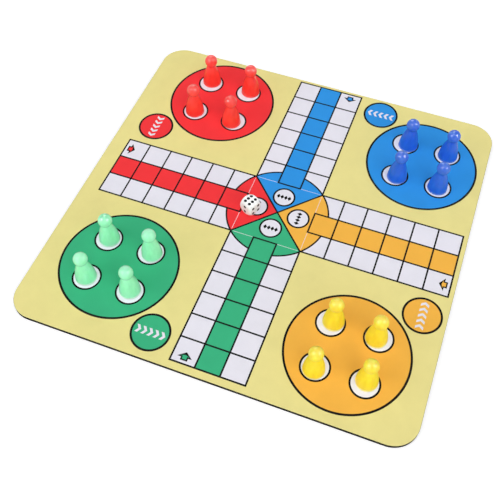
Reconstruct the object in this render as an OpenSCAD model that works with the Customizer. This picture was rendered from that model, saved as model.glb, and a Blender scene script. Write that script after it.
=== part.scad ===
// Soft, nearly square play mat for a four-player race game, set out with sixteen pawns and one die.
// Millimetres, +Z up. The origin is the middle of the mat's underside, and the front edge faces -Y.
// A cross-shaped track is printed on the mat's cloth. The pawns stand on its corner nests.

/* [Mat] */
// Width of the mat, from left to right
mat_w = 250; // [200:0.5:320]
// Depth of the mat, from front to back
mat_d = 248.5; // [200:0.5:320]
// Radius of the mat's rounded corners
corner_r = 16; // [5:0.5:30]
// Thickness of the foam rubber base
rubber_t = 2.2; // [1:0.1:5]
// Thickness of the printed cloth bonded to the base
cloth_t = 0.3; // [0.2:0.05:0.8]

/* [Print] */
// Gap between the printed cross and the side edges of the mat, were the print centred
print_margin_x = 7.5; // [5:0.1:15]
// Gap between the printed cross and the front and back edges of the mat, were the print centred
print_margin_y = 3.75; // [3:0.05:15]
// How far the print lies to the right of the mat's middle
print_shift_x = 4.2; // [-4.5:0.1:4.5]
// How far the print lies behind the mat's middle
print_shift_y = 1.4; // [-3:0.1:3]

/* [Pawns] */
// Height of a pawn
pawn_h = 24.2; // [18:0.1:32]
// Diameter of the foot
foot_d = 13.8; // [11:0.1:18]
// Height of the rounded rim round the foot
foot_rim_h = 1.6; // [1:0.1:3]
// Step from the rim in to the flank above it
foot_step = 0.3; // [0.1:0.1:1]
// How far the flank swells out from a straight cone
flank_bulge = 0.8; // [0.2:0.1:1.2]
// Diameter of the ball head
head_d = 8.8; // [7:0.1:11]
// Step from the ball in to the neck below it
neck_step = 1.8; // [0.5:0.1:2.4]
// Width of the flat ring that the foot stands on
stand_ring_w = 1.2; // [0.6:0.1:2]
// Depth of the dish inside that ring
dish_depth = 0.5; // [0.2:0.1:0.8]

/* [Die] */
// Distance between opposite faces of the die
die_edge = 10; // [8:0.1:14]
// How much larger the ball is that rounds off the die's corners
die_ball_extra = 3.6; // [2.5:0.1:5]
// Diameter of a pip
pip_d = 1.9; // [1:0.1:2]
// Depth of a pip
pip_depth = 0.4; // [0.2:0.05:0.6]
// Distance between the two columns of the six
six_column_pitch = 3.7; // [3:0.1:4.5]
// Distance along each column of the six
six_row_pitch = 2.7; // [2.2:0.1:2.9]
// Side of the square of pips on the four and the five
square_pitch = 4.5; // [3.5:0.1:4.8]
// Distance between the pips of the two
pair_pitch = 4.4; // [3:0.1:5]
// Turn of the die as it lies on the mat, in degrees
die_turn = -25.5; // [-45:0.5:45]

/* [Hidden] */
$fn = 96;
TEAMS = ["red", "blue", "green", "yellow"];
PAWNS_PER_TEAM = 4;

// The print is laid out in cells: six rows of slightly long cells make an arm, beyond a square centre
centre_half = 1.5;
arm_rows = 6;
arm_row_length = 1.0143;
cells_to_tip = centre_half + arm_rows * arm_row_length;
cell_x = (mat_w / 2 - print_margin_x) / cells_to_tip;
cell_y = (mat_d / 2 - print_margin_y) / cells_to_tip;
mat_top = rubber_t + cloth_t;

// Each nest is a little farther along one axis than the other, in cells, and turns with its quarter
nest_near = 4.575;
nest_far = 5.073;
spot_reach = 0.948;
team_nests = [
    [-nest_near, nest_far],
    [nest_far, nest_near],
    [-nest_far, -nest_near],
    [nest_near, -nest_far]
];
team_colours = ["#ee3b2f", "#2450cc", "#8ff0b4", "#ffdd33"];

// The four spots of a nest: back left, back right, front left, front right
nest_spots = [for (back = [1, -1], right = [-1, 1]) [right, back] * spot_reach];

// How far each pawn was set down from the middle of its spot, in millimetres
pawn_nudges = [
    [[0, 1.8], [1, 2], [-0.3, -0.3], [-1.3, -1.2]],
    [[1.9, -0.4], [0.4, -0.6], [1.5, -0.7], [-0.2, -0.5]],
    [[0.6, 0.3], [1.1, -0.6], [-0.2, -0.1], [-0.2, 0.8]],
    [[1.4, 1.2], [-1.4, -0.6], [-0.3, -1.7], [0.5, 1.8]]
];

// Profile of a pawn, from the foot up to the ball
foot_rim_r = foot_rim_h / 2;
foot_point = [foot_d / 2 - foot_step, foot_rim_r];
head_z = pawn_h - head_d / 2;
neck_r = head_d / 2 - neck_step;
neck_point = [neck_r, head_z - sqrt(pow(head_d / 2, 2) - pow(neck_r, 2))];
flank_chord = neck_point - foot_point;
flank_outward = [flank_chord.y, -flank_chord.x] / norm(flank_chord);
flank_r = cap_round(norm(flank_chord) / 2, flank_bulge);
flank_centre = (foot_point + neck_point) / 2 - flank_outward * (flank_r - flank_bulge);
flank_facets = 480;
dish_r = foot_d / 2 - foot_rim_r - stand_ring_w;
dish_ball_r = cap_round(dish_r, dish_depth);

// The die lies on the red home triangle. Each face is a turn from the top, and the pips that it bears
die_cell = [-1.12, -0.25];
die_ball_d = die_edge + die_ball_extra;
pip_ball_r = cap_round(pip_d / 2, pip_depth);
pips_one = [[0, 0]];
pips_two = [for (up = [-1, 1]) [0, up * pair_pitch / 2]];
pips_four = [for (right = [-1, 1], up = [-1, 1]) [right, up] * square_pitch / 2];
pips_three = [for (step = [-1 : 1]) [step, step] * square_pitch / 2];
pips_five = concat(pips_four, pips_one);
pips_six = [for (right = [-1, 1], up = [-1 : 1]) [right * six_column_pitch / 2, up * six_row_pitch]];
die_faces = [
    [[0, 0, 0], pips_six],
    [[180, 0, 0], pips_one],
    [[0, 90, 0], pips_four],
    [[0, -90, 0], pips_three],
    [[90, 0, 0], pips_two],
    [[-90, 0, 0], pips_five]
];

function pawn_name(team, number) = str(team, "_pawn_", number);

// Radius of the circle or ball whose cap has this half width and this depth
function cap_round(half_width, depth) = (half_width * half_width + depth * depth) / (2 * depth);

// A point of the print, given in cells, on the mat in millimetres
function on_mat(cells) = [print_shift_x + cells.x * cell_x, print_shift_y + cells.y * cell_y];

// A slab with the mat's outline
module mat_slab(thickness) {
    straight_w = mat_w - 2 * corner_r;
    straight_d = mat_d - 2 * corner_r;
    linear_extrude(thickness) {
        square([mat_w, straight_d], center = true);
        square([straight_w, mat_d], center = true);
        for (right = [-1, 1], back = [-1, 1])
            translate([right * straight_w, back * straight_d] / 2)
                circle(r = corner_r);
    }
}

module rubber_base() {
    color("#1b1b1b")
        mat_slab(rubber_t);
}

module printed_cloth() {
    color("#e4da8f")
        translate([0, 0, rubber_t])
            mat_slab(cloth_t);
}

// One pawn about its own axis, standing on z = 0
module pawn_shape() {
    difference() {
        union() {
            rotate_extrude() {
                square([foot_d / 2 - foot_rim_r, foot_rim_h]);
                translate([foot_d / 2 - foot_rim_r, foot_rim_r])
                    circle(r = foot_rim_r);
            }
            rotate_extrude()
                intersection() {
                    translate(flank_centre)
                        circle(r = flank_r, $fn = flank_facets);
                    translate([0, foot_rim_r])
                        square([foot_d / 2, head_z - foot_rim_r]);
                }
            translate([0, 0, head_z])
                sphere(d = head_d);
        }
        translate([0, 0, dish_depth - dish_ball_r])
            sphere(r = dish_ball_r);
    }
}

module pawn(team_index, number) {
    spot = on_mat(team_nests[team_index] + nest_spots[number - 1]);
    place = spot + pawn_nudges[team_index][number - 1];
    color(team_colours[team_index])
        translate([place.x, place.y, mat_top])
            pawn_shape();
}

module die() {
    place = on_mat(die_cell);
    color("#f4f3ef")
        translate([place.x, place.y, mat_top + die_edge / 2])
            rotate(die_turn)
                difference() {
                    intersection() {
                        cube(die_edge, center = true);
                        sphere(d = die_ball_d);
                    }
                    for (face = die_faces)
                        rotate(face[0])
                            for (pip = face[1])
                                translate([pip.x, pip.y, die_edge / 2 + pip_ball_r - pip_depth])
                                    sphere(r = pip_ball_r);
                }
}

rubber_base();
printed_cloth();
for (team_index = [0 : len(TEAMS) - 1], number = [1 : PAWNS_PER_TEAM])
    pawn(team_index, number);
die();
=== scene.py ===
import math

import bpy
from mathutils import Matrix, Vector
from mathutils.geometry import delaunay_2d_cdt


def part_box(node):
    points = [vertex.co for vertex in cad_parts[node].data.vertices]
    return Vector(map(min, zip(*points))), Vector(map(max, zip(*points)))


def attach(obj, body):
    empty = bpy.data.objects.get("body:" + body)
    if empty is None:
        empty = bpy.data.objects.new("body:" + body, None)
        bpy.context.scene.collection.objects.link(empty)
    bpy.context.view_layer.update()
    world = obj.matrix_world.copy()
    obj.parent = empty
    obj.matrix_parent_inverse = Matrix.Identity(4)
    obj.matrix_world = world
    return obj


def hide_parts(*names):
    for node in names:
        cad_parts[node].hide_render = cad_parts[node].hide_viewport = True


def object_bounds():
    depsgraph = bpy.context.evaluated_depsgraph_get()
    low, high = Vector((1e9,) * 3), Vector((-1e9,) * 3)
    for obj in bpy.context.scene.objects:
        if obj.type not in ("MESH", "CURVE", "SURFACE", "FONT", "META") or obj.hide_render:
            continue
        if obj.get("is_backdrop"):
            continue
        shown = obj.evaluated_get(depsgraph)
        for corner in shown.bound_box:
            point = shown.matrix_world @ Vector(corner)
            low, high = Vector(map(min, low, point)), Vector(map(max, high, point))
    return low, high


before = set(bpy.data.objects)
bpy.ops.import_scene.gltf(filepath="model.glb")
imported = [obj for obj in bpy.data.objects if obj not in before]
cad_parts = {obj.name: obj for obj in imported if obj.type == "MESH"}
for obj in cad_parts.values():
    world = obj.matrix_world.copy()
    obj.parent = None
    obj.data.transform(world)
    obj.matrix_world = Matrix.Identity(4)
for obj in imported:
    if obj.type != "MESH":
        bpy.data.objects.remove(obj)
cad_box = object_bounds()

# Metres throughout, apart from the print, which is laid out in cells of its own track
MM = 0.001

# The camera, from a fit of the printed grid to the photograph
CAMERA_PLACE = Vector((85.9, -271.5, 383.5)) * MM
CAMERA_TARGET = Vector((-2.2, -32.5, 2.5)) * MM
CAMERA_ROLL = math.radians(0.35)
CAMERA_LENS = 52.41
SENSOR_WIDTH = 36.0
CAMERA_NEAREST = 10 * MM

# Light: an even sky, a large softbox overhead, two low wide fills in front, two small softboxes behind
# and three lamps for the glints alone. Each lamp has its direction from the mat, its distance, its side,
# its power in watts, whether it lights what it falls on, and whether it shows in reflections
SKY_LEVEL = 0.31
SOFTBOXES = {
    "softbox_top": (Vector((0.05, -0.15, 0.98)), 2.5, 2.0, 24.0, True, True),
    "softbox_fill_right": (Vector((0.75, -0.6, 0.3)), 5.0, 5.0, 158.0, True, False),
    "softbox_fill_left": (Vector((-0.75, -0.6, 0.3)), 5.0, 5.0, 133.0, True, False),
    "softbox_back_right": (Vector((0.37, 0.83, 0.45)), 1.8, 0.35, 2.4, True, True),
    "softbox_back_left": (Vector((-0.6, 0.65, 0.47)), 1.8, 0.35, 2.4, True, True),
    "glint_right": (Vector((0.73, -0.02, 0.68)), 1.5, 0.8, 34.0, False, True),
    "glint_left": (Vector((-0.55, -0.5, 0.67)), 1.5, 0.8, 34.0, False, True),
    "glint_back": (Vector((-0.26, 0.68, 0.69)), 1.5, 0.9, 15.0, False, True),
}

# Floor: how far it lies below the mat, the light that it gives off where it is seen, and the distances
# from the middle between which it fades into the sky
FLOOR_SIDE = 6.0
FLOOR_DROP = 0.05 * MM
FLOOR_ALBEDO = 0.8
FLOOR_LIFT = 0.36
FLOOR_FADE_START = 0.3
FLOOR_FADE_END = 0.9

# Mat
mat_low, mat_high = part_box("printed_cloth")
mat_width = mat_high.x - mat_low.x
mat_depth = mat_high.y - mat_low.y
CORNER_RADIUS = 16 * MM
CORNER_STEPS = 20
CLOTH_EDGE_ROUND = 0.12 * MM
RUBBER_EDGE_ROUND = 0.15 * MM
RUBBER_EDGE_HOLLOW = 0.06 * MM
EDGE_STEPS = 4

# The print, in cells: x runs right and y runs back from the middle of the print
HALF_CELL = 0.5
CENTRE_HALF = 1.5
CENTRE_RADIUS = 2.141
ARM_ROWS = 6
ARM_ROW_LENGTH = 1.0143
ARM_TIP = CENTRE_HALF + ARM_ROWS * ARM_ROW_LENGTH
PRINT_MARGIN_X = 7.5 * MM
PRINT_MARGIN_Y = 3.75 * MM
PRINT_SHIFT = Vector((4.2, 1.4)) * MM
LINE_WIDTH = 0.069
RING_WIDTH = 0.087
SPOT_RING_WIDTH = 0.076
PALE_LINE_WIDTH = 0.016
PALE_LINE_GAP = 0.09
NEST_PLACE = Vector((-5.073, -4.575))
NEST_RADIUS = 2.383
SPOT_REACH = 0.948
SPOT_RADIUS = 0.557
START_PLACE = Vector((-2.62, -6.835))
START_RADIUS = 0.745
START_MARKS = 5
START_MARK_PITCH = 0.25
START_MARK_HALF = Vector((0.11, 0.16))
START_MARK_STROKE = 0.115
HOME_RADIUS = 0.447
HOME_REACH_FRONT = 0.84
HOME_REACH_SIDE = 0.92
HOME_MARKS = 4
HOME_MARK_PITCH = 0.16
HOME_MARK_HALF = Vector((0.08, 0.11))
ARROW_PLACE = Vector((-1.0, -7.17))
ARROW_HEAD_LENGTH = 0.14
ARROW_HEAD_HALF = 0.24
ARROW_LENGTH = 0.26
ARROW_STEM_HALF = 0.115
ARROW_LINE_WIDTH = 0.056
CIRCLE_SIDES = 96

# Points of the print, or of a face of the die, that are closer than this in metres become one
PRINT_WELD = 1e-6
DIE_WELD = 1e-6 * MM

# The teams in the order of their quarters: front, right, back and left
TEAMS = ("green", "yellow", "blue", "red")

# Pawn
FOOT_RIM_HEIGHT = 1.6 * MM
FOOT_STEP = 0.3 * MM
HEAD_DIAMETER = 8.8 * MM
NECK_STEP = 1.8 * MM
FLANK_BULGE = 0.8 * MM
NECK_FILLET = 0.9 * MM
FOOT_FILLET = 0.15 * MM
STAND_RING = 1.2 * MM
DISH_DEPTH = 0.5 * MM
GATE_RADIUS = 0.7 * MM
GATE_HEIGHT = 0.25 * MM
PAWN_SIDES = 96
HEAD_STEPS = 26
NECK_STEPS = 6
FLANK_STEPS = 16
FOOT_STEPS = 5
RIM_STEPS = 12
DISH_STEPS = 6

# The pawn's two mould lines, which get lower near the axis, down to the radius divided by the taper
PARTING_RIDGE = 0.035 * MM
PARTING_TAPER = 10

# How each of a team's four pawns is turned, in degrees
PAWN_TURNS = (25, 140, 75, 10)

# Die: a cube that runs over into a ball, the more sharply the higher the power of the blend
DIE_TURN = math.radians(-25.5)
DIE_BALL_EXTRA = 3.6 * MM
DIE_BLEND = 22
DIE_GRID = 26
SEAM_DIGITS = 4
SIX_COLUMN_PITCH = 3.7 * MM
SIX_ROW_PITCH = 2.7 * MM
SQUARE_PITCH = 4.5 * MM
PAIR_PITCH = 4.4 * MM

# Pips. The reach of the paint and the rings of points are shares of a pip's radius
PIP_DIAMETER = 1.9 * MM
PIP_DEPTH = 0.4 * MM
PIP_SIDES = 28
PAINT_REACH = 1.12
PIP_RINGS = (PAINT_REACH, 1.0, 0.82, 0.6, 0.35, 0.12)

# Moulded plastic: the sizes of its flow marks, which are long and upright, and of its ripple, how rough it
# is, and how much that varies
FLOW_SIZE = 2.5 * MM
FLOW_UPRIGHT_SCALE = 0.35
RIPPLE_SIZE = 0.9 * MM
PAWN_ROUGHNESS = {"green": 0.2, "yellow": 0.4, "blue": 0.06, "red": 0.08}
DIE_ROUGHNESS = 0.06
ROUGHNESS_SPREAD = 0.02

# How far light spreads inside the plastic. Any light goes the least share of this, and light of the
# plastic's own colour goes farther by the gain
PAWN_GLOW = 0.6 * MM
DIE_GLOW = 0.4 * MM
SCATTER_LEAST = 0.4
SCATTER_GAIN = 1.6

# Painted light: shares of white painted into a pawn's thin foot rim, standing in for light through it, and
# into its head, standing in for the light that fills it, and the heights over which these come in
RIM_PAINTED_LIGHT = 0.4
RIM_LIGHT_BLEND = 0.3 * MM
HEAD_PAINTED_LIGHT = 0.03
HEAD_LIGHT_BLEND = 3 * MM

# The middle of a texture's range, where most of its values lie
TEXTURE_LOW = 0.3
TEXTURE_HIGH = 0.7

# At scale 1, a wave texture turns by this many radians in a metre
WAVE_RATE = 20

# Colours as they look, in eight-bit red, green and blue
INK_COLOURS = {
    "field": (234, 223, 146),
    "white": (232, 230, 240),
    "spot_white": (236, 236, 246),
    "black": (6, 6, 6),
    "green": (57, 179, 128),
    "yellow": (245, 182, 71),
    "blue": (44, 148, 228),
    "red": (244, 53, 58),
}
PAWN_COLOURS = {
    "green": (161, 253, 197),
    "yellow": (253, 224, 56),
    "blue": (45, 108, 214),
    "red": (255, 68, 58),
}
DIE_COLOUR = (245, 245, 245)
PIP_COLOUR = (4, 5, 10)
RUBBER_COLOUR = (14, 14, 15)
# The cloth's cut edge is dark partly from the rubber's stain and partly as painted shade
CUT_EDGE_COLOUR = (36, 34, 27)

# White as shaders take it
WHITE = (1.0, 1.0, 1.0, 1.0)


# Small helpers

def linear(colour, shade=1.0):
    """A colour given as it looks, taken through the sRGB curve to the linear values that shaders take, and
    made darker or lighter by the shade."""
    channels = []
    for channel in colour:
        share = channel / 255
        value = share / 12.92 if share <= 0.04045 else ((share + 0.055) / 1.055) ** 2.4
        channels.append(min(value * shade, 1.0))
    return (*channels, 1.0)


def add_node(tree, kind, inputs, **settings):
    """A shader node of that kind, with its settings made and its inputs given values or linked."""
    node = tree.nodes.new("ShaderNode" + kind)
    for name, value in settings.items():
        setattr(node, name, value)
    fill_inputs(tree, node, inputs)
    return node


def fill_inputs(tree, node, inputs):
    """Gives the inputs of a node their values, or links them."""
    for name, value in inputs.items():
        if isinstance(value, bpy.types.NodeSocket):
            tree.links.new(value, node.inputs[name])
        else:
            node.inputs[name].default_value = value


def new_material(name):
    """A new material with its node tree and its surface shader."""
    material = bpy.data.materials.new(name)
    material.use_nodes = True
    tree = material.node_tree
    return material, tree, tree.nodes["Principled BSDF"]


def object_place(tree):
    """The place on the object, from the object's own origin."""
    return add_node(tree, "TexCoord", {}).outputs["Object"]


def noise(tree, place, size, detail=2.0, roughness=0.5):
    """Cloudy noise whose patches are about that size."""
    inputs = {"Vector": place, "Scale": 1 / size, "Detail": detail, "Roughness": roughness}
    return add_node(tree, "TexNoise", inputs).outputs["Fac"]


def ridges(tree, place, pitch, direction, distortion, distortion_size):
    """Even ridges that run across one direction, a little uneven."""
    inputs = {
        "Vector": place,
        "Scale": math.tau / (WAVE_RATE * pitch),
        "Distortion": distortion,
        "Detail": 1.0,
        "Detail Scale": pitch / distortion_size,
    }
    return add_node(tree, "TexWave", inputs, bands_direction=direction).outputs["Fac"]


def ramp(tree, factor, start, end):
    """A colour that runs from the first to the second over the middle of the factor's range."""
    node = add_node(tree, "ValToRGB", {"Fac": factor})
    stops = ((TEXTURE_LOW, start), (TEXTURE_HIGH, end))
    for element, (place, colour) in zip(node.color_ramp.elements, stops):
        element.position = place
        element.color = colour
    return node.outputs["Color"]


def spread(tree, factor, low, high):
    """A value that runs from low to high over the middle of the factor's range."""
    source = {"Value": factor, "From Min": TEXTURE_LOW, "From Max": TEXTURE_HIGH}
    return add_node(tree, "MapRange", {**source, "To Min": low, "To Max": high}).outputs["Result"]


def combine(tree, operation, first, second):
    """One value worked out from two by the given operation."""
    node = add_node(tree, "Math", {0: first, 1: second}, operation=operation)
    return node.outputs["Value"]


def blend(tree, factor, first, second):
    """A colour between two others."""
    colours = {"Fac": factor, "Color1": first, "Color2": second}
    return add_node(tree, "MixRGB", colours).outputs["Color"]


def bump(tree, height, distance, strength=1.0):
    """The shading of a surface that rises with the height, by that distance at most."""
    inputs = {"Height": height, "Distance": distance, "Strength": strength}
    return add_node(tree, "Bump", inputs).outputs["Normal"]


# Materials

def cloth_ink(name, colour):
    """Dye in the mat's fine knitted face: matt, with uneven yarns and a slight mottle in the dye."""
    yarn_pitch = 0.55 * MM
    yarn_waver = 3.0
    waver_size = 3 * MM
    mottle_size = 9 * MM
    fibre_size = 0.35 * MM
    mottle_share = 0.6
    fibre_height = 0.5
    material, tree, shader = new_material("cloth_" + name)
    place = object_place(tree)
    mottle = noise(tree, place, mottle_size, detail=4.0, roughness=0.6)
    fibre = noise(tree, place, fibre_size)
    across = ridges(tree, place, yarn_pitch, "X", yarn_waver, waver_size)
    along = ridges(tree, place, yarn_pitch, "Y", yarn_waver, waver_size)
    weave = combine(tree, "MULTIPLY", across, along)
    broad_tone = combine(tree, "MULTIPLY", mottle, mottle_share)
    fine_tone = combine(tree, "MULTIPLY", fibre, 1 - mottle_share)
    tone = combine(tree, "ADD", broad_tone, fine_tone)
    height = combine(tree, "ADD", weave, combine(tree, "MULTIPLY", fibre, fibre_height))
    fill_inputs(tree, shader, {
        "Base Color": ramp(tree, tone, linear(colour, 0.97), linear(colour, 1.03)),
        "Roughness": spread(tree, fibre, 0.8, 0.95),
        "Specular IOR Level": 0.08,
        "Normal": bump(tree, height, 0.05 * MM, 0.6),
    })
    return material


def cut_cloth():
    """The cut edge and the underside of the cloth, with uneven yarn ends. Their dark colour is partly a
    stain from the rubber and partly painted shade.
    """
    yarn_end_size = 0.3 * MM
    material, tree, shader = new_material("cloth_cut_edge")
    place = object_place(tree)
    ends = noise(tree, place, yarn_end_size, detail=3.0, roughness=0.7)
    fill_inputs(tree, shader, {
        "Base Color": ramp(tree, ends, linear(CUT_EDGE_COLOUR, 0.6), linear(CUT_EDGE_COLOUR, 1.15)),
        "Roughness": spread(tree, ends, 0.85, 1.0),
        "Specular IOR Level": 0.2,
        "Normal": bump(tree, ends, 0.1 * MM),
    })
    return material


def foam_edge():
    """The cut edge of the foam rubber, with its fine open cells."""
    cell_size = 0.3 * MM
    dust_size = 2 * MM
    material, tree, shader = new_material("rubber_cut_edge")
    place = object_place(tree)
    cells = add_node(tree, "TexVoronoi", {"Vector": place, "Scale": 1 / cell_size}).outputs["Distance"]
    dust = noise(tree, place, dust_size, detail=4.0, roughness=0.6)
    fill_inputs(tree, shader, {
        "Base Color": ramp(tree, dust, linear(RUBBER_COLOUR, 0.75), linear(RUBBER_COLOUR, 1.4)),
        "Roughness": spread(tree, dust, 0.85, 1.0),
        "Specular IOR Level": 0.04,
        "Normal": bump(tree, cells, 0.12 * MM),
    })
    return material


def foam_grip():
    """The moulded underside of the foam rubber: a close net of shallow ridges that grips the table."""
    net_pitch = 1.8 * MM
    net_waver = 0.4
    waver_size = 6 * MM
    dust_size = 4 * MM
    material, tree, shader = new_material("rubber_grip")
    place = object_place(tree)
    across = ridges(tree, place, net_pitch, "X", net_waver, waver_size)
    along = ridges(tree, place, net_pitch, "Y", net_waver, waver_size)
    net = combine(tree, "MAXIMUM", across, along)
    dust = noise(tree, place, dust_size, detail=5.0, roughness=0.65)
    fill_inputs(tree, shader, {
        "Base Color": ramp(tree, dust, linear(RUBBER_COLOUR, 0.8), linear(RUBBER_COLOUR, 1.5)),
        "Roughness": spread(tree, net, 0.8, 0.55),
        "Specular IOR Level": 0.35,
        "Normal": bump(tree, net, 0.25 * MM),
    })
    return material


def moulded_plastic(name, colour, roughness, glow, rim_light_height, head_light_height):
    """Glossy plastic with faint flow marks and a slight ripple. Light spreads inside it over the distance
    glow. Painted light: below the first height, where it is thin, it is painted paler, standing in for
    light through it, and a little above the second it is painted paler for the light that fills the head.
    The lighter the plastic, the more light is painted where it is thin."""
    material, tree, shader = new_material(name)
    place = object_place(tree)
    upright = {"Vector": place, "Scale": (1.0, 1.0, FLOW_UPRIGHT_SCALE)}
    stretch = add_node(tree, "Mapping", upright).outputs["Vector"]
    flow = noise(tree, stretch, FLOW_SIZE, detail=3.0, roughness=0.55)
    ripple = noise(tree, place, RIPPLE_SIZE)
    height = add_node(tree, "SeparateXYZ", {"Vector": place}).outputs["Z"]
    # Painted light in the thin foot rim: paler below the rim's height, standing in for light through it
    rim_light_range = {
        "Value": height,
        "From Min": rim_light_height - RIM_LIGHT_BLEND,
        "From Max": rim_light_height + RIM_LIGHT_BLEND,
    }
    past_rim_light = add_node(tree, "MapRange", rim_light_range).outputs["Result"]
    # Painted light in the head: white mixed in above the head's height
    head_light_range = {
        "Value": height,
        "From Min": head_light_height,
        "From Max": head_light_height + HEAD_LIGHT_BLEND,
        "To Max": HEAD_PAINTED_LIGHT,
    }
    head_light_share = add_node(tree, "MapRange", head_light_range).outputs["Result"]
    # Green counts most in how light a colour looks
    lightness = linear(colour)[1]
    # The share of white painted into the foot rim as light through it, more for lighter plastics
    clear = RIM_PAINTED_LIGHT * lightness
    pale = [channel + (1 - channel) * clear for channel in linear(colour)]
    body = ramp(tree, flow, linear(colour, 0.92), linear(colour, 1.08))
    radius = [SCATTER_LEAST + SCATTER_GAIN * channel for channel in linear(colour)[:3]]
    fill_inputs(tree, shader, {
        # The base colour carries the painted light of the foot rim and of the head
        "Base Color": blend(tree, head_light_share, blend(tree, past_rim_light, pale, body), WHITE),
        "Roughness": spread(tree, ripple, roughness - ROUGHNESS_SPREAD, roughness + ROUGHNESS_SPREAD),
        "IOR": 1.55,
        "Specular IOR Level": 0.25,
        "Subsurface Weight": 1.0,
        "Subsurface Radius": radius,
        "Subsurface Scale": glow,
        "Normal": bump(tree, flow, 0.05 * MM),
    })
    return material


def pip_paint():
    """Paint in the pips, thicker in places."""
    brush_size = 0.4 * MM
    material, tree, shader = new_material("pip_paint")
    place = object_place(tree)
    brush = noise(tree, place, brush_size, detail=3.0)
    fill_inputs(tree, shader, {
        "Base Color": ramp(tree, brush, linear(PIP_COLOUR, 0.7), linear(PIP_COLOUR, 1.6)),
        "Roughness": spread(tree, brush, 0.5, 0.7),
        "Specular IOR Level": 0.15,
        "Normal": bump(tree, brush, 0.02 * MM),
    })
    return material


# Pieces

def add_piece(name, points, faces, slots, materials, smooth):
    """A mesh object. slots gives each face's material, and smooth says which faces are shaded as curved."""
    mesh = bpy.data.meshes.new(name)
    mesh.from_pydata(points, [], faces)
    for material in materials:
        mesh.materials.append(material)
    mesh.polygons.foreach_set("material_index", slots)
    mesh.polygons.foreach_set("use_smooth", smooth)
    mesh.update()
    piece = bpy.data.objects.new(name, mesh)
    bpy.context.scene.collection.objects.link(piece)
    return piece


def arc(centre, radius, start, end, steps):
    """Points along an arc from one angle to another, both included."""
    angles = [start + (end - start) * step / steps for step in range(steps + 1)]
    return [Vector((centre[0] + radius * math.cos(a), centre[1] + radius * math.sin(a))) for a in angles]


def mat_outline(inset):
    """The mat's outline, anticlockwise, drawn in by that much."""
    points = []
    for corner, (right, back) in enumerate(((1, 1), (-1, 1), (-1, -1), (1, -1))):
        start = corner * math.pi / 2
        centre = (right * (mat_width / 2 - CORNER_RADIUS), back * (mat_depth / 2 - CORNER_RADIUS))
        points += arc(centre, CORNER_RADIUS - inset, start, start + math.pi / 2, CORNER_STEPS)
    return points


def rounded_edge(z, radius, facing):
    """Insets and heights of a quarter round, from the flat face at z out to the side. facing is 1 for a top
    edge and -1 for a bottom edge."""
    angles = [math.pi / 2 * step / EDGE_STEPS for step in range(EDGE_STEPS + 1)]
    return [(radius * (1 - math.sin(a)), z - facing * radius * (1 - math.cos(a))) for a in angles]


def rim(points, faces, ring, profile):
    """Adds rings of points below the given ring, each drawn in and set at its height, and the faces between
    them. Returns the last ring."""
    for inset, z in profile:
        first = len(points)
        points += [(*place, z) for place in mat_outline(inset)]
        below = list(range(first, len(points)))
        for index in range(len(ring)):
            after = (index + 1) % len(ring)
            faces.append((ring[index], below[index], below[after], ring[after]))
        ring = below
    return ring


# The print

def disc(centre, radius):
    """A disc's outline, in cells."""
    return arc(centre, radius, 0, math.tau * (1 - 1 / CIRCLE_SIDES), CIRCLE_SIDES - 1)


def box(left, front, right, back):
    """A box's outline, in cells."""
    return [Vector(place) for place in ((left, front), (right, front), (right, back), (left, back))]


def ringed_disc(centre, radius, ring_width, ink):
    """A disc with a black ring round it."""
    yield "black", disc(centre, radius + ring_width / 2)
    yield ink, disc(centre, radius - ring_width / 2)


def ruled_box(left, front, right, back, ink):
    """A box with black lines round it."""
    half = LINE_WIDTH / 2
    yield "black", box(left - half, front - half, right + half, back + half)
    yield ink, box(left + half, front + half, right - half, back - half)


def arm(team):
    """The front arm: three columns of cells, the middle one in the team's colour."""
    for row in range(ARM_ROWS):
        back = -CENTRE_HALF - row * ARM_ROW_LENGTH
        for column in (-1, 1, 0):
            ink = "white" if column else team
            front = back - ARM_ROW_LENGTH
            yield from ruled_box(column - HALF_CELL, front, column + HALF_CELL, back, ink)


def nest(team):
    """The large disc where the team's pawns wait, with its four white spots."""
    yield from ringed_disc(NEST_PLACE, NEST_RADIUS, RING_WIDTH, team)
    for right in (-SPOT_REACH, SPOT_REACH):
        for back in (-SPOT_REACH, SPOT_REACH):
            spot = NEST_PLACE + Vector((right, back))
            yield from ringed_disc(spot, SPOT_RADIUS, SPOT_RING_WIDTH, "spot_white")


def start(team):
    """The small disc beside the arm's tip, with a row of chevrons."""
    yield from ringed_disc(START_PLACE, START_RADIUS, RING_WIDTH, team)
    half = START_MARK_HALF
    stroke = Vector((START_MARK_STROKE, 0))
    for mark in range(START_MARKS):
        middle = START_PLACE + Vector(((mark - (START_MARKS - 1) / 2) * START_MARK_PITCH, 0))
        tip = middle + Vector((half.x, 0))
        low = middle - half
        high = middle + Vector((-half.x, half.y))
        yield "white", [low, low + stroke, tip, high + stroke, high, tip - stroke]


def arrow(team):
    """The small arrow on the arm's end cell, which points to the middle."""
    half = ARROW_LINE_WIDTH / 2

    def outline(grow):
        mitre = 2 * grow
        shoulder = ARROW_PLACE.y - ARROW_HEAD_LENGTH - grow
        foot = ARROW_PLACE.y - ARROW_LENGTH - grow
        right_side = [
            Vector((ARROW_STEM_HALF + grow, foot)),
            Vector((ARROW_STEM_HALF + grow, shoulder)),
            Vector((ARROW_HEAD_HALF + mitre, shoulder)),
        ]
        left_side = [Vector((-place.x, place.y)) for place in reversed(right_side)]
        tip = Vector((0, ARROW_PLACE.y + mitre))
        return [place + Vector((ARROW_PLACE.x, 0)) for place in (*right_side, tip, *left_side)]

    yield "black", outline(half)
    yield team, outline(-half)


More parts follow.
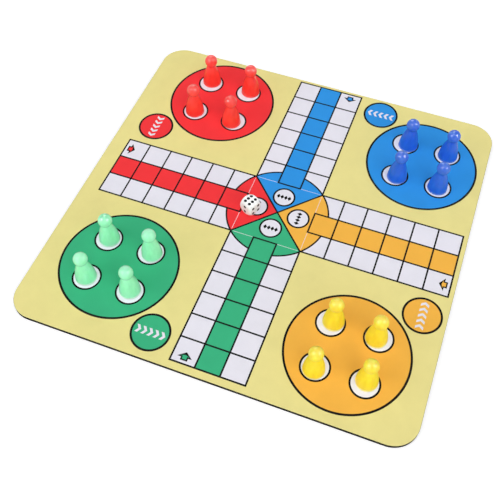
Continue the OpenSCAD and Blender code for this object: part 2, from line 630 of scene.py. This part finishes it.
def sector(team):
    """The front quarter of the middle disc, inside its black lines, and the pale line across it."""
    radius = CENTRE_RADIUS - LINE_WIDTH / 2
    turn = math.asin(LINE_WIDTH / 2 / radius)
    apex = Vector((0, -LINE_WIDTH / 2 * math.sqrt(2)))
    left_end = -0.75 * math.pi + turn
    right_end = -0.25 * math.pi - turn
    yield team, [apex, *arc((0, 0), radius, left_end, right_end, CIRCLE_SIDES // 4)]
    half = PALE_LINE_WIDTH / 2
    reach = CENTRE_HALF - PALE_LINE_GAP
    yield "white", box(-reach, -CENTRE_HALF - half, reach, -CENTRE_HALF + half)


def home(team, reach):
    """The coloured column's last cell, over the middle disc, and the home spot with its row of diamonds."""
    yield from ruled_box(-HALF_CELL, -CENTRE_HALF - ARM_ROW_LENGTH, HALF_CELL, -CENTRE_HALF, team)
    centre = Vector((0, -reach))
    yield from ringed_disc(centre, HOME_RADIUS, SPOT_RING_WIDTH, "white")
    half = HOME_MARK_HALF
    for mark in range(HOME_MARKS):
        middle = centre + Vector(((mark - (HOME_MARKS - 1) / 2) * HOME_MARK_PITCH, 0))
        corners = ((0, -half.y), (half.x, 0), (0, half.y), (-half.x, 0))
        yield "black", [middle + Vector(corner) for corner in corners]


def turned(points, quarters):
    """Points turned anticlockwise about the middle of the print."""
    for _ in range(quarters):
        points = [Vector((-place.y, place.x)) for place in points]
    return points


def print_shapes():
    """Every patch of ink as its colour and its outline in cells, each over those before it."""
    for quarter, team in enumerate(TEAMS):
        for part in (arm, nest, start, arrow):
            for ink, points in part(team):
                yield ink, turned(points, quarter)
    yield "black", disc((0, 0), CENTRE_RADIUS + LINE_WIDTH / 2)
    for quarter, team in enumerate(TEAMS):
        for ink, points in sector(team):
            yield ink, turned(points, quarter)
    for quarter, team in enumerate(TEAMS):
        reach = HOME_REACH_SIDE if quarter % 2 else HOME_REACH_FRONT
        for ink, points in home(team, reach):
            yield ink, turned(points, quarter)


def build_cloth():
    """The printed cloth: a thin slab whose top is divided along the edges of the inks."""
    low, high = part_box("printed_cloth")
    cell = Vector((mat_width / 2 - PRINT_MARGIN_X, mat_depth / 2 - PRINT_MARGIN_Y)) / ARM_TIP
    inks = ["field"]
    outlines = [mat_outline(CLOTH_EDGE_ROUND)]
    for ink, outline in print_shapes():
        inks.append(ink)
        outlines.append([PRINT_SHIFT + place * cell for place in outline])
    corners = [place for outline in outlines for place in outline]
    loops = []
    for outline in outlines:
        first = sum(map(len, loops))
        loops.append(list(range(first, first + len(outline))))
    flat, _, faces, sources, _, covers = delaunay_2d_cdt(corners, [], loops, 1, PRINT_WELD)

    # A face takes the ink of the last outline that covers it
    names = list(INK_COLOURS)
    slots = [names.index(inks[max(cover)]) for cover in covers]
    top_faces = len(faces)
    points = [(*place, high.z) for place in flat]
    now_at = {source: index for index, group in enumerate(sources) for source in group}
    ring = [now_at[index] for index in loops[0]]
    ring = rim(points, faces, ring, rounded_edge(high.z, CLOTH_EDGE_ROUND, 1)[1:] + [(0, low.z)])
    faces.append(list(reversed(ring)))
    side_faces = len(faces) - top_faces

    materials = [cloth_ink(name, colour) for name, colour in INK_COLOURS.items()] + [cut_cloth()]
    slots += [len(names)] * side_faces
    smooth = [False] * top_faces + [True] * (side_faces - 1) + [False]
    cloth = add_piece("cloth_face", points, faces, slots, materials, smooth)
    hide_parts("printed_cloth")
    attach(cloth, "mat")


def build_base():
    """The foam rubber base, its cut edge slightly hollow and its lower edge rounded."""
    low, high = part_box("rubber_base")
    middle = (low.z + high.z) / 2
    profile = [(RUBBER_EDGE_HOLLOW, middle), *reversed(rounded_edge(low.z, RUBBER_EDGE_ROUND, -1))]
    points = [(*place, high.z) for place in mat_outline(0)]
    ring = list(range(len(points)))
    faces = [ring]
    ring = rim(points, faces, ring, profile)
    faces.append(list(reversed(ring)))
    slots = [0] * (len(faces) - 1) + [1]
    smooth = [False] + [True] * (len(faces) - 2) + [False]
    base = add_piece("foam_base", points, faces, slots, [foam_edge(), foam_grip()], smooth)
    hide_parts("rubber_base")
    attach(base, "mat")


# Pawns

def meeting_point(centre_a, reach_a, centre_b, reach_b):
    """The point at the given distances from two centres that lies farther from the axis."""
    between = centre_b - centre_a
    apart = between.length
    along = (reach_a ** 2 - reach_b ** 2 + apart ** 2) / (2 * apart)
    aside = math.sqrt(reach_a ** 2 - along ** 2)
    way = between / apart
    foot = centre_a + way * along
    sides = [foot + Vector((-way.y, way.x)) * aside * sign for sign in (1, -1)]
    return max(sides, key=lambda place: place.x)


def angle_to(centre, place):
    """The angle at which a place is seen from a centre."""
    return math.atan2(place.y - centre.y, place.x - centre.x)


def pawn_profile(height, foot_radius):
    """The pawn's outline as distances from the axis and heights, from the top of its head round to the
    middle of its underside."""
    rim_radius = FOOT_RIM_HEIGHT / 2
    head_radius = HEAD_DIAMETER / 2
    head = Vector((0, height - head_radius))
    rim_centre = Vector((foot_radius - rim_radius, rim_radius))
    neck_radius = head_radius - NECK_STEP
    neck = Vector((neck_radius, head.y - math.sqrt(head_radius ** 2 - neck_radius ** 2)))
    foot = Vector((foot_radius - FOOT_STEP, rim_radius))
    chord = neck - foot
    flank_radius = (chord.length ** 2 / 4 + FLANK_BULGE ** 2) / (2 * FLANK_BULGE)
    outward = Vector((chord.y, -chord.x)).normalized()
    flank = (neck + foot) / 2 - outward * (flank_radius - FLANK_BULGE)
    neck_fillet = meeting_point(head, head_radius + NECK_FILLET, flank, flank_radius + NECK_FILLET)
    foot_fillet = meeting_point(rim_centre, rim_radius + FOOT_FILLET, flank, flank_radius + FOOT_FILLET)

    head_end = angle_to(head, neck_fillet)
    flank_start = angle_to(flank, neck_fillet)
    flank_end = angle_to(flank, foot_fillet)
    rim_start = angle_to(rim_centre, foot_fillet)
    dish_radius = foot_radius - rim_radius - STAND_RING
    dish_ball = (dish_radius ** 2 + DISH_DEPTH ** 2) / (2 * DISH_DEPTH)
    dish = Vector((0, DISH_DEPTH - dish_ball))
    dish_start = angle_to(dish, Vector((dish_radius, 0)))
    dish_end = math.acos(GATE_RADIUS / dish_ball)

    profile = arc(head, head_radius, math.pi / 2, head_end, HEAD_STEPS)
    profile += arc(neck_fillet, NECK_FILLET, head_end + math.pi, flank_start + math.pi, NECK_STEPS)[1:]
    profile += arc(flank, flank_radius, flank_start, flank_end, FLANK_STEPS)[1:]
    profile += arc(foot_fillet, FOOT_FILLET, flank_end + math.pi, rim_start + math.pi, FOOT_STEPS)[1:]
    profile += arc(rim_centre, rim_radius, rim_start, -math.pi / 2, RIM_STEPS)[1:]
    profile += arc(dish, dish_ball, dish_start, dish_end, DISH_STEPS)
    gate = profile[-1].y - GATE_HEIGHT
    return profile + [Vector((GATE_RADIUS, gate)), Vector((0, gate))]


def lathe(profile):
    """Points and faces of the profile turned about the upright axis, with two mould lines."""
    points = [(0, 0, profile[0].y)]
    for place in profile[1:-1]:
        for side in range(PAWN_SIDES):
            turn = math.tau * side / PAWN_SIDES
            radius = place.x
            if side % (PAWN_SIDES // 2) == 0:
                radius += min(PARTING_RIDGE, place.x / PARTING_TAPER)
            points.append((radius * math.cos(turn), radius * math.sin(turn), place.y))
    points.append((0, 0, profile[-1].y))
    last = len(points) - 1
    rings = len(profile) - 2
    faces = []
    for side in range(PAWN_SIDES):
        after = (side + 1) % PAWN_SIDES
        faces.append((0, 1 + side, 1 + after))
        for ring in range(rings - 1):
            upper = 1 + ring * PAWN_SIDES
            lower = upper + PAWN_SIDES
            faces.append((upper + side, lower + side, lower + after, upper + after))
        lowest = 1 + (rings - 1) * PAWN_SIDES
        faces.append((lowest + side, last, lowest + after))
    return points, faces


def build_pawns(team):
    """The team's four pawns, each turned about its own axis by a different amount."""
    slot = team + "_plastic"
    low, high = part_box(team + "_pawn_1")
    neck_height = high.z - low.z - HEAD_DIAMETER
    look = (PAWN_COLOURS[team], PAWN_ROUGHNESS[team], PAWN_GLOW)
    # The foot rim is painted paler below its height, and the head above the neck, as painted light
    plastic = moulded_plastic(slot, *look, FOOT_RIM_HEIGHT, neck_height)
    for number, turn in enumerate(PAWN_TURNS, 1):
        node = f"{team}_pawn_{number}"
        low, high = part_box(node)
        foot_radius = (high.x - low.x) / 2
        points, faces = lathe(pawn_profile(high.z - low.z, foot_radius))
        slots = [0] * len(faces)
        smooth = [True] * len(faces)
        pawn = add_piece(node + "_moulding", points, faces, slots, [plastic], smooth)
        pawn.location = ((low.x + high.x) / 2, (low.y + high.y) / 2, low.z)
        pawn.rotation_euler = (0, 0, math.radians(turn))
        bpy.context.view_layer.update()
        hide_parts(node)
        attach(pawn, node)


# Die

def die_face_pips():
    """The six faces of the die: the turn that takes the top face there, and the places of its pips."""
    signs = (-1, 1)
    one = [(0, 0)]
    two = [(0, up * PAIR_PITCH / 2) for up in signs]
    four = [(right * SQUARE_PITCH / 2, up * SQUARE_PITCH / 2) for right in signs for up in signs]
    three = [(step * SQUARE_PITCH / 2, step * SQUARE_PITCH / 2) for step in (-1, 0, 1)]
    six = [(right * SIX_COLUMN_PITCH / 2, up * SIX_ROW_PITCH) for right in signs for up in (-1, 0, 1)]
    quarter = math.pi / 2
    return (
        (Matrix.Identity(3), six),
        (Matrix.Rotation(math.pi, 3, "X"), one),
        (Matrix.Rotation(quarter, 3, "Y"), four),
        (Matrix.Rotation(-quarter, 3, "Y"), three),
        (Matrix.Rotation(quarter, 3, "X"), two),
        (Matrix.Rotation(-quarter, 3, "X"), four + one),
    )


def die_surface(place, edge):
    """A point of a sharp cube, moved in to the die's softly rounded surface."""
    reach = place.length
    ball = (edge + DIE_BALL_EXTRA) / 2
    rounded = (reach ** -DIE_BLEND + ball ** -DIE_BLEND) ** (-1 / DIE_BLEND)
    return place * (rounded / reach)


def die_face(pips, edge):
    """Points of one face about its middle, the depth of each, triangles, and True for those with paint."""
    half = edge / 2
    pip_radius = PIP_DIAMETER / 2
    painted_radius = pip_radius * PAINT_REACH
    clear = painted_radius + edge / DIE_GRID / 2
    pips = [Vector(pip) for pip in pips]
    flat = []
    for column in range(DIE_GRID + 1):
        for row in range(DIE_GRID + 1):
            place = Vector((edge * column / DIE_GRID - half, edge * row / DIE_GRID - half))
            if all((place - pip).length > clear for pip in pips):
                flat.append(place)
    lines = []
    for pip in pips:
        for share in PIP_RINGS:
            first = len(flat)
            flat += arc(pip, pip_radius * share, 0, math.tau * (1 - 1 / PIP_SIDES), PIP_SIDES - 1)
            lines += [(first + side, first + (side + 1) % PIP_SIDES) for side in range(PIP_SIDES)]
    flat, _, faces, _, _, _ = delaunay_2d_cdt(flat, lines, [], 0, DIE_WELD)
    depths = []
    for place in flat:
        gap = min((place - pip).length for pip in pips) / pip_radius
        depths.append(PIP_DEPTH * max(0.0, 1 - gap ** 2))
    painted = []
    for face in faces:
        middle = sum((flat[corner] for corner in face), Vector((0, 0))) / len(face)
        painted.append(min((middle - pip).length for pip in pips) < painted_radius)
    return flat, depths, faces, painted


def build_die():
    """The die: a cube rounded by a ball, with sunk and painted pips. Its faces share the points of their
    seams, found as those that agree to a few digits in millimetres."""
    low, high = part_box("die")
    edge = high.z - low.z
    points, faces, painted = [], [], []
    index_at = {}
    for turn, pips in die_face_pips():
        flat, depths, triangles, black = die_face(pips, edge)
        here = []
        for place, depth in zip(flat, depths):
            point = die_surface(Vector((*place, edge / 2)), edge)
            point = turn @ (point - Vector((0, 0, depth)))
            key = tuple(round(value / MM, SEAM_DIGITS) for value in point)
            if key not in index_at:
                index_at[key] = len(points)
                points.append(point)
            here.append(index_at[key])
        faces += [[here[corner] for corner in triangle] for triangle in triangles]
        painted += black
    # Both heights lie outside the die, so no painted light falls on it and it has one colour throughout
    plastic = moulded_plastic("die_plastic", DIE_COLOUR, DIE_ROUGHNESS, DIE_GLOW, -edge, edge)
    slots = [int(black) for black in painted]
    die = add_piece("die_moulding", points, faces, slots, [plastic, pip_paint()], [True] * len(faces))
    die.location = (low + high) / 2
    die.rotation_euler = (0, 0, DIE_TURN)
    bpy.context.view_layer.update()
    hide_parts("die")
    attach(die, "die")


# Camera, light and floor

def build_camera():
    """The camera of the photograph."""
    data = bpy.data.cameras.new("camera")
    data.sensor_width = SENSOR_WIDTH
    data.lens = CAMERA_LENS
    data.clip_start = CAMERA_NEAREST
    camera = bpy.data.objects.new("camera", data)
    aim = (CAMERA_TARGET - CAMERA_PLACE).to_track_quat("-Z", "Y").to_matrix()
    turn = aim @ Matrix.Rotation(CAMERA_ROLL, 3, "Z")
    camera.matrix_world = Matrix.Translation(CAMERA_PLACE) @ turn.to_4x4()
    bpy.context.scene.collection.objects.link(camera)
    bpy.context.scene.camera = camera


def seen_directly(tree):
    """1 for rays from the camera, from a reflection or through clear material, and 0 for soft light."""
    path = add_node(tree, "LightPath", {}).outputs
    mirrored = combine(tree, "MAXIMUM", path["Is Glossy Ray"], path["Is Transmission Ray"])
    return combine(tree, "MAXIMUM", path["Is Camera Ray"], mirrored)


def build_sky():
    """An even white surround, which lights the object at a lower level than it shows."""
    world = bpy.data.worlds.new("studio")
    world.use_nodes = True
    tree = world.node_tree
    levels = {"Value": seen_directly(tree), "To Min": SKY_LEVEL, "To Max": 1.0}
    level = add_node(tree, "MapRange", levels).outputs["Result"]
    fill_inputs(tree, tree.nodes["Background"], {"Color": WHITE, "Strength": level})
    bpy.context.scene.world = world


def build_softboxes():
    """Square lamps that face the middle of the mat and that the camera doesn't see."""
    for name, (direction, distance, side, power, lighting, reflected) in SOFTBOXES.items():
        data = bpy.data.lights.new(name, "AREA")
        data.size = side
        data.energy = power
        lamp = bpy.data.objects.new(name, data)
        lamp.location = direction.normalized() * distance
        lamp.rotation_euler = direction.to_track_quat("Z", "Y").to_euler()
        lamp.visible_camera = False
        lamp.visible_diffuse = lighting
        lamp.visible_glossy = reflected
        bpy.context.scene.collection.objects.link(lamp)


def build_floor():
    """A plain white floor, which keeps the object's shadow and fades into the surround farther out."""
    half = FLOOR_SIDE / 2
    corners = [(x, y, -FLOOR_DROP) for x, y in ((-half, -half), (half, -half), (half, half), (-half, half))]
    material, tree, shader = new_material("studio_floor")
    diffuse = add_node(tree, "BsdfDiffuse", {"Color": (FLOOR_ALBEDO, FLOOR_ALBEDO, FLOOR_ALBEDO, 1.0)})
    seen = seen_directly(tree)
    lift = combine(tree, "MULTIPLY", seen, FLOOR_LIFT)
    glow = add_node(tree, "Emission", {"Color": WHITE, "Strength": lift})
    near = add_node(tree, "AddShader", {0: diffuse.outputs["BSDF"], 1: glow.outputs["Emission"]})
    surround = add_node(tree, "Emission", {"Color": WHITE, "Strength": 1.0})
    reach = add_node(tree, "VectorMath", {0: object_place(tree)}, operation="LENGTH").outputs["Value"]
    fade = {"Value": reach, "From Min": FLOOR_FADE_START, "From Max": FLOOR_FADE_END}
    far = combine(tree, "MULTIPLY", seen, add_node(tree, "MapRange", fade).outputs["Result"])
    ends = {"Fac": far, 1: near.outputs["Shader"], 2: surround.outputs["Emission"]}
    both = add_node(tree, "MixShader", ends)
    tree.links.new(both.outputs["Shader"], tree.nodes["Material Output"].inputs["Surface"])
    tree.nodes.remove(shader)
    floor = add_piece("floor", corners, [(0, 1, 2, 3)], [0], [material], [False])
    floor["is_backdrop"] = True


bpy.context.scene.view_settings.view_transform = "Standard"
build_camera()
build_sky()
build_softboxes()
build_floor()
build_base()
build_cloth()
for pawn_team in TEAMS:
    build_pawns(pawn_team)
build_die()

boxes = {"cad": cad_box, "visual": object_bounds()}
{name: [list(corner) for corner in corners] for name, corners in boxes.items()}
